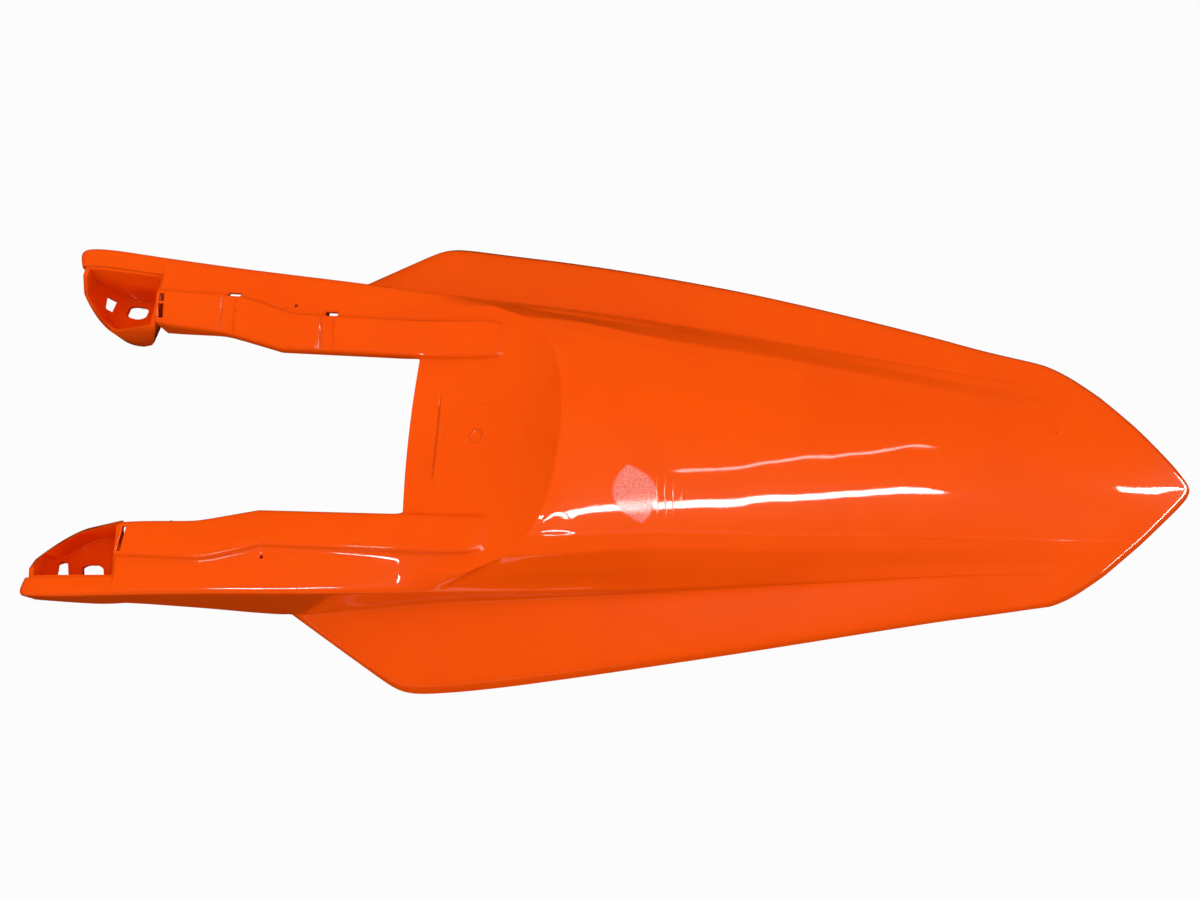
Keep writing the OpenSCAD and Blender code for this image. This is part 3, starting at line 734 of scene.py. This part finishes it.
# Strap bands across the right arm with how far each leads at its inner end, the slot at the foot
# of the step beside each, and the slot across the front end of each channel
cuts = {
    "bands": [(109.4, 2), (174, -1.5)], "bandWidth": 8.6, "bandDepth": 0.9, "bandOver": 1.2, "bandTop": 12,
    "slotLength": 8, "slotWidth": 3.4, "slotBehind": 1.4, "slotOut": 0.8, "slotHeights": (60, 95),
    "frontSlot": 3.5, "leftSlot": 2.6, "frontBehind": 1.4, "frontFrom": 4, "frontShare": 0.72,
    "frontHeights": (60, 100), "barShare": 0.62, "barWidth": 1.4,
}


def block(x0, x1, y0, y1, z0, z1):
    return prism("block", [(x0, y0), (x1, y0), (x1, y1), (x0, y1)], z0, z1)


def bandCutter(place, ahead):
    over = cuts["bandOver"]
    corners = []
    for e in (-cuts["bandWidth"] / 2, cuts["bandWidth"] / 2):
        for across in (0, 1):
            x = place + e - (1 - across) * ahead
            low = straight("innerHeight", x)
            high = straight("creaseHeight", x)
            tilt = (high - low) / (creaseY(x) - innerY(x))
            y = creaseY(x) + over if across else innerY(x) - over
            z = high + tilt * over if across else low - tilt * over
            corners.append((run(x), y, z - cuts["bandDepth"]))
    corners += [(x, y, z + cuts["bandTop"]) for x, y, z in corners]
    sides = [(0, 1, 3, 2), (4, 6, 7, 5), (0, 4, 5, 1), (2, 3, 7, 6), (0, 2, 6, 4), (1, 5, 7, 3)]
    return addSolid("band", corners, sides)


for place, ahead in cuts["bands"]:
    combine(fender, bandCutter(place, ahead))
    x = place + cuts["slotBehind"]
    y = creaseY(x) + cuts["slotOut"]
    half = cuts["slotLength"] / 2
    combine(fender, block(run(x) - half, run(x) + half, y, y + cuts["slotWidth"], *cuts["slotHeights"]))


# The front slot of the right arm has a bar across it, and that of the left arm is narrower
def cutFrontSlots():
    start = run(shell["channelStart"]) + cuts["frontBehind"]
    low = innerY(shell["channelStart"]) + cuts["frontFrom"]
    high = low + shell["channel"] * cuts["frontShare"]
    bar = mix(low, high, cuts["barShare"])
    half = cuts["barWidth"] / 2
    for a, b in ((low, bar - half), (bar + half, high)):
        combine(fender, block(start, start + cuts["frontSlot"], a, b, *cuts["frontHeights"]))
    combine(fender, block(start, start + cuts["leftSlot"], -low, -high, *cuts["frontHeights"]))


cutFrontSlots()
print("pockets, ribs, collars and slots made", len(fender.data.polygons))


def linear(hexColour):
    values = [int(hexColour[i:i + 2], 16) / 255 for i in (1, 3, 5)]
    return tuple(v / 12.92 if v <= 0.04045 else ((v + 0.055) / 1.055) ** 2.4 for v in values) + (1,)


def addNode(tree, kind, settings=None, values=None, links=None):
    made = tree.nodes.new(kind)
    for key, value in (settings or {}).items():
        setattr(made, key, value)
    for key, value in (values or {}).items():
        made.inputs[key].default_value = value
    for key, source in (links or {}).items():
        tree.links.new(source, made.inputs[key])
    return made


# Polypropylene, injection moulded against a polished tool. To the eye: saturated orange right through,
# a clear hard gloss with a faint haze round each highlight, and a skin that waves very slightly
plastic = {
    "colour": "#FC5300", "deepColour": "#F24900", "roughness": 0.28, "roughnessSpread": 0.12,
    "ior": 1.49, "specular": 0.05, "skin": 0.9, "scuffedSkin": 0.3, "skinRoughness": 0.035,
    "waveLength": 48, "waveHeight": 0.4, "peelLength": 2.2, "peelHeight": 0.006, "flowLength": 75,
}

# What moulding and use left on it. Places and sizes in millimetres, seen from above
marks = {
    "gate": {"place": (-80.2, 0.4, 0), "radius": 4.2, "width": 1, "height": 0.6},
    "pad": {"radius": 20.5, "edge": 0.9, "height": 0.4},
    "witness": {"place": (-106.2, -1.4, 0), "width": 0.85, "half": 31.5, "fadeFrom": 0.6, "depth": 0.9},
    "blister": {"place": (-210.5, 78.6, 0), "half": (2.9, 1.8, 1), "turn": 25, "height": 0.6},
    "scuff": {"place": (21.6, -35.2, 0), "half": (13.6, 17.6, 1), "turn": 17, "colour": "#F7958A",
              "ragged": 5, "raggedShare": 0.25, "grain": 1.1, "grainHeight": 0.03, "pale": (0.3, 0.8)},
    "scratches": {"place": (38, -36, 0), "reach": 13, "spacing": 4.6, "height": 0.02, "colour": "#FF8A50"},
    "specks": {"spacing": 42, "size": 0.9, "colour": "#8A2A06"},
}


# Shrinkage waves, orange peel, and the tone that the flow of the melt leaves
def mouldedSkin(tree, solid):
    k = plastic
    waves = addNode(tree, "ShaderNodeTexNoise", values={"Scale": 1 / k["waveLength"], "Detail": 1},
                    links={"Vector": solid}).outputs["Fac"]
    peel = addNode(tree, "ShaderNodeTexNoise", values={"Scale": 1 / k["peelLength"], "Detail": 2},
                   links={"Vector": solid}).outputs["Fac"]
    flow = addNode(tree, "ShaderNodeTexNoise",
                   values={"Scale": 1 / k["flowLength"], "Detail": 4, "Distortion": 0.6},
                   links={"Vector": solid}).outputs["Fac"]
    wavesHigh = addNode(tree, "ShaderNodeMath", {"operation": "MULTIPLY"}, {1: k["waveHeight"]},
                        {0: waves}).outputs[0]
    height = addNode(tree, "ShaderNodeMath", {"operation": "MULTIPLY_ADD"}, {1: k["peelHeight"]},
                     {0: peel, 2: wavesHigh}).outputs[0]
    tone = addNode(tree, "ShaderNodeMapRange", values={"From Min": 0.42, "From Max": 0.7, "To Max": 0.4},
                   links={"Value": flow}).outputs[0]
    colour = addNode(tree, "ShaderNodeMix", {"data_type": "RGBA"},
                     {6: linear(k["colour"]), 7: linear(k["deepColour"])}, {0: tone}).outputs[2]
    return height, colour, flow


# Ring of the injection gate, on a shallow round pad
def gateRing(tree, above, height):
    m = marks["gate"]
    away = addNode(tree, "ShaderNodeVectorMath", {"operation": "DISTANCE"}, {1: m["place"]},
                   {0: above}).outputs["Value"]
    offRing = addNode(tree, "ShaderNodeMath", {"operation": "SUBTRACT"}, {1: m["radius"]},
                      {0: away}).outputs[0]
    offRing = addNode(tree, "ShaderNodeMath", {"operation": "ABSOLUTE"}, None, {0: offRing}).outputs[0]
    ring = addNode(tree, "ShaderNodeMapRange", {"interpolation_type": "SMOOTHSTEP"},
                   {"From Max": m["width"], "To Min": m["height"], "To Max": 0},
                   {"Value": offRing}).outputs[0]
    m = marks["pad"]
    pad = addNode(tree, "ShaderNodeMapRange", {"interpolation_type": "SMOOTHSTEP"},
                  {"From Min": m["radius"] - m["edge"], "From Max": m["radius"] + m["edge"],
                   "To Min": m["height"], "To Max": 0}, {"Value": away}).outputs[0]
    for part in (ring, pad):
        height = addNode(tree, "ShaderNodeMath", {"operation": "ADD"}, None, {0: height, 1: part}).outputs[0]
    return height


# Witness groove of an insert in the mould, fading out at both ends
def witnessGroove(tree, above, height):
    m = marks["witness"]
    off = addNode(tree, "ShaderNodeVectorMath", {"operation": "SUBTRACT"}, {1: m["place"]},
                  {0: above}).outputs[0]
    off = addNode(tree, "ShaderNodeVectorMath", {"operation": "ABSOLUTE"}, None, {0: off}).outputs[0]
    off = addNode(tree, "ShaderNodeSeparateXYZ", links={"Vector": off})
    groove = addNode(tree, "ShaderNodeMapRange", {"interpolation_type": "SMOOTHSTEP"},
                     {"From Max": m["width"], "To Min": m["depth"], "To Max": 0},
                     {"Value": off.outputs["X"]}).outputs[0]
    fading = addNode(tree, "ShaderNodeMapRange", {"interpolation_type": "SMOOTHSTEP"},
                     {"From Min": m["half"] * m["fadeFrom"], "From Max": m["half"], "To Min": 1, "To Max": 0},
                     {"Value": off.outputs["Y"]}).outputs[0]
    groove = addNode(tree, "ShaderNodeMath", {"operation": "MULTIPLY"}, None,
                     {0: groove, 1: fading}).outputs[0]
    return addNode(tree, "ShaderNodeMath", {"operation": "SUBTRACT"}, None, {0: height, 1: groove}).outputs[0]


# Small oval blister beside the right pilot hole
def ovalBlister(tree, above, height):
    m = marks["blister"]
    local = addNode(tree, "ShaderNodeMapping", {"vector_type": "TEXTURE"},
                    {"Location": m["place"], "Rotation": (0, 0, math.radians(m["turn"])), "Scale": m["half"]},
                    {"Vector": above}).outputs[0]
    away = addNode(tree, "ShaderNodeVectorMath", {"operation": "LENGTH"}, None, {0: local}).outputs["Value"]
    blister = addNode(tree, "ShaderNodeMapRange", {"interpolation_type": "SMOOTHSTEP"},
                      {"From Max": 1, "To Min": m["height"], "To Max": 0}, {"Value": away}).outputs[0]
    return addNode(tree, "ShaderNodeMath", {"operation": "ADD"}, None, {0: height, 1: blister}).outputs[0]


# Leaf-shaped scuff on the crown, where rubbing has broken the skin into pale grains
def leafScuff(tree, solid, above, height, colour):
    m = marks["scuff"]
    local = addNode(tree, "ShaderNodeMapping", {"vector_type": "TEXTURE"},
                    {"Location": m["place"], "Rotation": (0, 0, math.radians(m["turn"])), "Scale": m["half"]},
                    {"Vector": above}).outputs[0]
    local = addNode(tree, "ShaderNodeSeparateXYZ", links={"Vector": local})
    across = addNode(tree, "ShaderNodeMath", {"operation": "ABSOLUTE"}, None,
                     {0: local.outputs["X"]}).outputs[0]
    along = addNode(tree, "ShaderNodeMath", {"operation": "MULTIPLY"}, None,
                    {0: local.outputs["Y"], 1: local.outputs["Y"]}).outputs[0]
    leaf = addNode(tree, "ShaderNodeMath", {"operation": "ADD"}, None, {0: across, 1: along}).outputs[0]
    ragged = addNode(tree, "ShaderNodeTexNoise", values={"Scale": 1 / m["ragged"], "Detail": 5},
                     links={"Vector": solid}).outputs["Fac"]
    leaf = addNode(tree, "ShaderNodeMath", {"operation": "MULTIPLY_ADD"}, {1: m["raggedShare"]},
                   {0: ragged, 2: leaf}).outputs[0]
    leaf = addNode(tree, "ShaderNodeMapRange", {"interpolation_type": "SMOOTHSTEP"},
                   {"From Min": 0.94, "From Max": 1.14, "To Min": 1, "To Max": 0}, {"Value": leaf}).outputs[0]
    grain = addNode(tree, "ShaderNodeTexNoise", values={"Scale": 1 / m["grain"], "Detail": 2},
                    links={"Vector": solid}).outputs["Fac"]
    grainHigh = addNode(tree, "ShaderNodeMath", {"operation": "MULTIPLY"}, {1: m["grainHeight"]},
                        {0: grain}).outputs[0]
    height = addNode(tree, "ShaderNodeMath", {"operation": "MULTIPLY_ADD"}, None,
                     {0: grainHigh, 1: leaf, 2: height}).outputs[0]
    low, high = m["pale"]
    pale = addNode(tree, "ShaderNodeMapRange",
                   values={"From Min": 0.36, "From Max": 0.56, "To Min": low, "To Max": high},
                   links={"Value": grain}).outputs[0]
    pale = addNode(tree, "ShaderNodeMath", {"operation": "MULTIPLY"}, None, {0: pale, 1: leaf}).outputs[0]
    colour = addNode(tree, "ShaderNodeMix", {"data_type": "RGBA"}, {7: linear(m["colour"])},
                     {0: pale, 6: colour}).outputs[2]
    return height, colour, leaf


# Fine curved scratches behind the scuff. A wave texture repeats every 0.314 divided by its scale
def curvedScratches(tree, above, height, colour):
    m = marks["scratches"]
    away = addNode(tree, "ShaderNodeVectorMath", {"operation": "DISTANCE"}, {1: m["place"]},
                   {0: above}).outputs["Value"]
    near = addNode(tree, "ShaderNodeMapRange",
                   values={"From Min": m["reach"] * 0.3, "From Max": m["reach"], "To Min": 1, "To Max": 0},
                   links={"Value": away}).outputs[0]
    bands = addNode(tree, "ShaderNodeTexWave", {"wave_type": "BANDS", "bands_direction": "X"},
                    {"Scale": 0.314 / m["spacing"], "Distortion": 5, "Detail": 1.5, "Detail Scale": 0.6},
                    {"Vector": above}).outputs["Fac"]
    thin = addNode(tree, "ShaderNodeMapRange", values={"From Min": 0.93, "From Max": 1},
                   links={"Value": bands}).outputs[0]
    scratch = addNode(tree, "ShaderNodeMath", {"operation": "MULTIPLY"}, None, {0: thin, 1: near}).outputs[0]
    height = addNode(tree, "ShaderNodeMath", {"operation": "MULTIPLY_ADD"}, {1: -m["height"]},
                     {0: scratch, 2: height}).outputs[0]
    colour = addNode(tree, "ShaderNodeMix", {"data_type": "RGBA"}, {7: linear(m["colour"])},
                     {0: scratch, 6: colour}).outputs[2]
    return height, colour


# Sparse specks of grit in the skin
def gritSpecks(tree, solid, colour):
    m = marks["specks"]
    size = m["size"] / m["spacing"]
    cells = addNode(tree, "ShaderNodeTexVoronoi", values={"Scale": 1 / m["spacing"]}, links={"Vector": solid})
    speck = addNode(tree, "ShaderNodeMapRange",
                    values={"From Min": size * 0.4, "From Max": size, "To Min": 0.8, "To Max": 0},
                    links={"Value": cells.outputs["Distance"]}).outputs[0]
    return addNode(tree, "ShaderNodeMix", {"data_type": "RGBA"}, {7: linear(m["colour"])},
                   {0: speck, 6: colour}).outputs[2]


def glossPolypropylene():
    made = bpy.data.materials.new("gloss injection-moulded polypropylene")
    made.use_nodes = True
    tree = made.node_tree
    tree.nodes.clear()
    k = plastic
    place = addNode(tree, "ShaderNodeTexCoord")
    solid = addNode(tree, "ShaderNodeVectorMath", {"operation": "MULTIPLY"}, {1: (1000, 1000, 1000)},
                    {0: place.outputs["Object"]}).outputs[0]  # in millimetres
    above = addNode(tree, "ShaderNodeVectorMath", {"operation": "MULTIPLY"}, {1: (1, 1, 0)},
                    {0: solid}).outputs[0]  # the same, seen from above
    height, colour, flow = mouldedSkin(tree, solid)
    height = gateRing(tree, above, height)
    height = witnessGroove(tree, above, height)
    height = ovalBlister(tree, above, height)
    height, colour, leaf = leafScuff(tree, solid, above, height, colour)
    height, colour = curvedScratches(tree, above, height, colour)
    colour = gritSpecks(tree, solid, colour)

    # The scuff takes some of the clear skin off, and the flow of the melt changes the gloss a little
    skin = addNode(tree, "ShaderNodeMath", {"operation": "MULTIPLY_ADD"},
                   {1: -k["scuffedSkin"], 2: k["skin"]}, {0: leaf}).outputs[0]
    spread = k["roughnessSpread"]
    rough = addNode(tree, "ShaderNodeMath", {"operation": "MULTIPLY_ADD"},
                    {1: spread, 2: k["roughness"] - spread / 2}, {0: flow}).outputs[0]
    bump = addNode(tree, "ShaderNodeBump", values={"Strength": 1, "Distance": millimetre},
                   links={"Height": height}).outputs[0]
    shader = addNode(tree, "ShaderNodeBsdfPrincipled",
                     values={"IOR": k["ior"], "Specular IOR Level": k["specular"], "Coat IOR": k["ior"],
                             "Coat Roughness": k["skinRoughness"]},
                     links={"Base Color": colour, "Roughness": rough, "Coat Weight": skin, "Normal": bump,
                            "Coat Normal": bump})
    addNode(tree, "ShaderNodeOutputMaterial", links={"Surface": shader.outputs["BSDF"]})
    return made


fender.data.materials.clear()
fender.data.materials.append(glossPolypropylene())
fender.data.shade_smooth()
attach(fender, "root")
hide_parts("rear_fender")
print("material given")

# Plain white studio. A large soft lamp overhead gives the matt light. Strip lamps, for the gloss alone,
# hang where their reflections fall on the photograph's highlights, and black felt flags, seen only
# in reflections, keep the gloss dark between them
studio = {
    "floorSize": 9000, "floor": "#FFFFFF", "floorMatt": "#808080", "floorGlow": 0.97, "ambient": 0.87,
    "flag": "#0A0908",
    # The tent of felt: half sizes and height. On the near side it is open below the hem up to one place
    "tent": {"half": (2350, 1700), "top": 1750, "hem": 90, "openTo": 60, "floorFrom": -1100},
    "soft": {"place": (100, 0, 1700), "size": 1200, "glow": 1.3},
    # Strip lamps: both ends, width and brightness
    "strips": {
        "crownStrip": {"ends": ((310, -985, 1450), (1240, -55, 1450)), "width": 62, "glow": 34},
        "crestStrip": {"ends": ((-230, -1200, 1450), (290, -1000, 1450)), "width": 50, "glow": 34},
        "thinStrip": {"ends": ((640, -150, 1450), (1300, 780, 1450)), "width": 20, "glow": 12},
        "tipStrip": {"ends": ((1560, 330, 1450), (2240, 440, 760)), "width": 70, "glow": 34},
        "edgeStrip": {"ends": ((-560, -900, 1450), (-330, -1030, 1450)), "width": 60, "glow": 55},
        "rimStrip": {"ends": ((2250, -1500, 450), (2250, 900, 450)), "width": 380, "glow": 30},
    },
}


# 1 for the rays that show the plain background: straight to the camera, in gloss and through glass
def backgroundRays(tree):
    path = addNode(tree, "ShaderNodeLightPath")
    seen = addNode(tree, "ShaderNodeMath", {"operation": "MAXIMUM"}, None,
                   {0: path.outputs["Is Camera Ray"], 1: path.outputs["Is Glossy Ray"]})
    return addNode(tree, "ShaderNodeMath", {"operation": "MAXIMUM"}, None,
                   {0: seen.outputs[0], 1: path.outputs["Is Transmission Ray"]})


def mattWhiteFloor():
    made = bpy.data.materials.new("matt white studio floor")
    made.use_nodes = True
    tree = made.node_tree
    tree.nodes.clear()
    matt = addNode(tree, "ShaderNodeBsdfDiffuse", values={"Color": linear(studio["floorMatt"])})
    glow = addNode(tree, "ShaderNodeEmission", values={"Color": linear(studio["floor"]), "Strength": 1})
    share = addNode(tree, "ShaderNodeMath", {"operation": "MULTIPLY"}, {1: studio["floorGlow"]},
                    {0: backgroundRays(tree).outputs[0]})
    both = addNode(tree, "ShaderNodeMixShader",
                   links={0: share.outputs[0], 1: matt.outputs[0], 2: glow.outputs[0]})
    addNode(tree, "ShaderNodeOutputMaterial", links={"Surface": both.outputs[0]})
    return made


def blackFelt():
    made = bpy.data.materials.new("black felt flag")
    made.use_nodes = True
    tree = made.node_tree
    tree.nodes.clear()
    matt = addNode(tree, "ShaderNodeBsdfDiffuse", values={"Color": linear(studio["flag"])})
    addNode(tree, "ShaderNodeOutputMaterial", links={"Surface": matt.outputs[0]})
    return made


def stageFelt(name, panels):
    vertices = [corner for panel in panels for corner in panel]
    felt = meshObject(name, vertices, [tuple(range(4 * i, 4 * i + 4)) for i in range(len(panels))])
    felt.data.materials.append(blackFelt())
    felt.visible_camera = felt.visible_diffuse = felt.visible_transmission = felt.visible_shadow = False


def hangLamp(name, ends, width, glow):
    a, b = [Vector(end) * millimetre for end in ends]
    light = bpy.data.lights.new(name, "AREA")
    light.shape = "RECTANGLE"
    light.size = (b - a).length
    light.size_y = width * millimetre
    light.energy = glow * math.pi * light.size * light.size_y
    made = bpy.data.objects.new(name, light)
    bpy.context.scene.collection.objects.link(made)
    along = (b - a).normalized()
    down = -(a + b) / 2
    back = -(down - along * down.dot(along)).normalized()
    turned = Matrix((along, back.cross(along), back)).transposed().to_4x4()
    made.matrix_world = Matrix.Translation((a + b) / 2) @ turned
    made.visible_camera = False
    return made


def makeStudio():
    size = studio["floorSize"] / 2
    corners = [(-size, -size, 0), (size, -size, 0), (size, size, 0), (-size, size, 0)]
    floor = meshObject("studioFloor", corners, [(0, 1, 2, 3)])
    floor.data.materials.append(mattWhiteFloor())

    k = studio["tent"]
    x, y = k["half"]
    top = k["top"]
    edge = k["openTo"]
    front = k["floorFrom"]
    walls = [((-x, -y, k["hem"]), (edge, -y, 0)), ((edge, -y, 0), (x, -y, 0)), ((x, -y, 0), (x, y, 0)),
             ((x, y, 0), (-x, y, 0)), ((-x, y, 0), (-x, -y, 0))]
    panels = [(a, (b[0], b[1], a[2]), (b[0], b[1], top), (a[0], a[1], top)) for a, b in walls]
    panels.append(((-x, -y, top), (x, -y, top), (x, y, top), (-x, y, top)))
    panels += [((-x, front, 0.5), (edge, front, 0.5), (edge, y, 0.5), (-x, y, 0.5)),
               ((edge, -y, 0.5), (x, -y, 0.5), (x, y, 0.5), (edge, y, 0.5))]
    stageFelt("feltTent", panels)

    world = bpy.data.worlds.new("studio")
    bpy.context.scene.world = world
    world.use_nodes = True
    tree = world.node_tree
    tree.nodes.clear()
    plain = (1, 1, 1, 1)
    soft = addNode(tree, "ShaderNodeBackground", values={"Color": plain, "Strength": studio["ambient"]})
    white = addNode(tree, "ShaderNodeBackground", values={"Color": plain, "Strength": 1})
    both = addNode(tree, "ShaderNodeMixShader",
                   links={0: backgroundRays(tree).outputs[0], 1: soft.outputs[0], 2: white.outputs[0]})
    addNode(tree, "ShaderNodeOutputWorld", links={"Surface": both.outputs[0]})
    for name, strip in studio["strips"].items():
        hangLamp(name, strip["ends"], strip["width"], strip["glow"]).visible_diffuse = False
    k = studio["soft"]
    x, y, z = k["place"]
    half = k["size"] / 2
    overhead = hangLamp("softOverhead", ((x - half, y, z), (x + half, y, z)), k["size"], k["glow"])
    overhead.visible_glossy = False


def makeCamera():
    data = bpy.data.cameras.new("camera")
    data.lens = camera["lens"]
    data.sensor_width = 36
    made = bpy.data.objects.new("camera", data)
    bpy.context.scene.collection.objects.link(made)
    made.location = Vector(camera["place"]) * millimetre
    made.rotation_euler = [math.radians(v) for v in camera["turn"]]
    bpy.context.scene.camera = made


makeStudio()
makeCamera()
bpy.context.scene.view_settings.view_transform = "Standard"
print("studio ready")
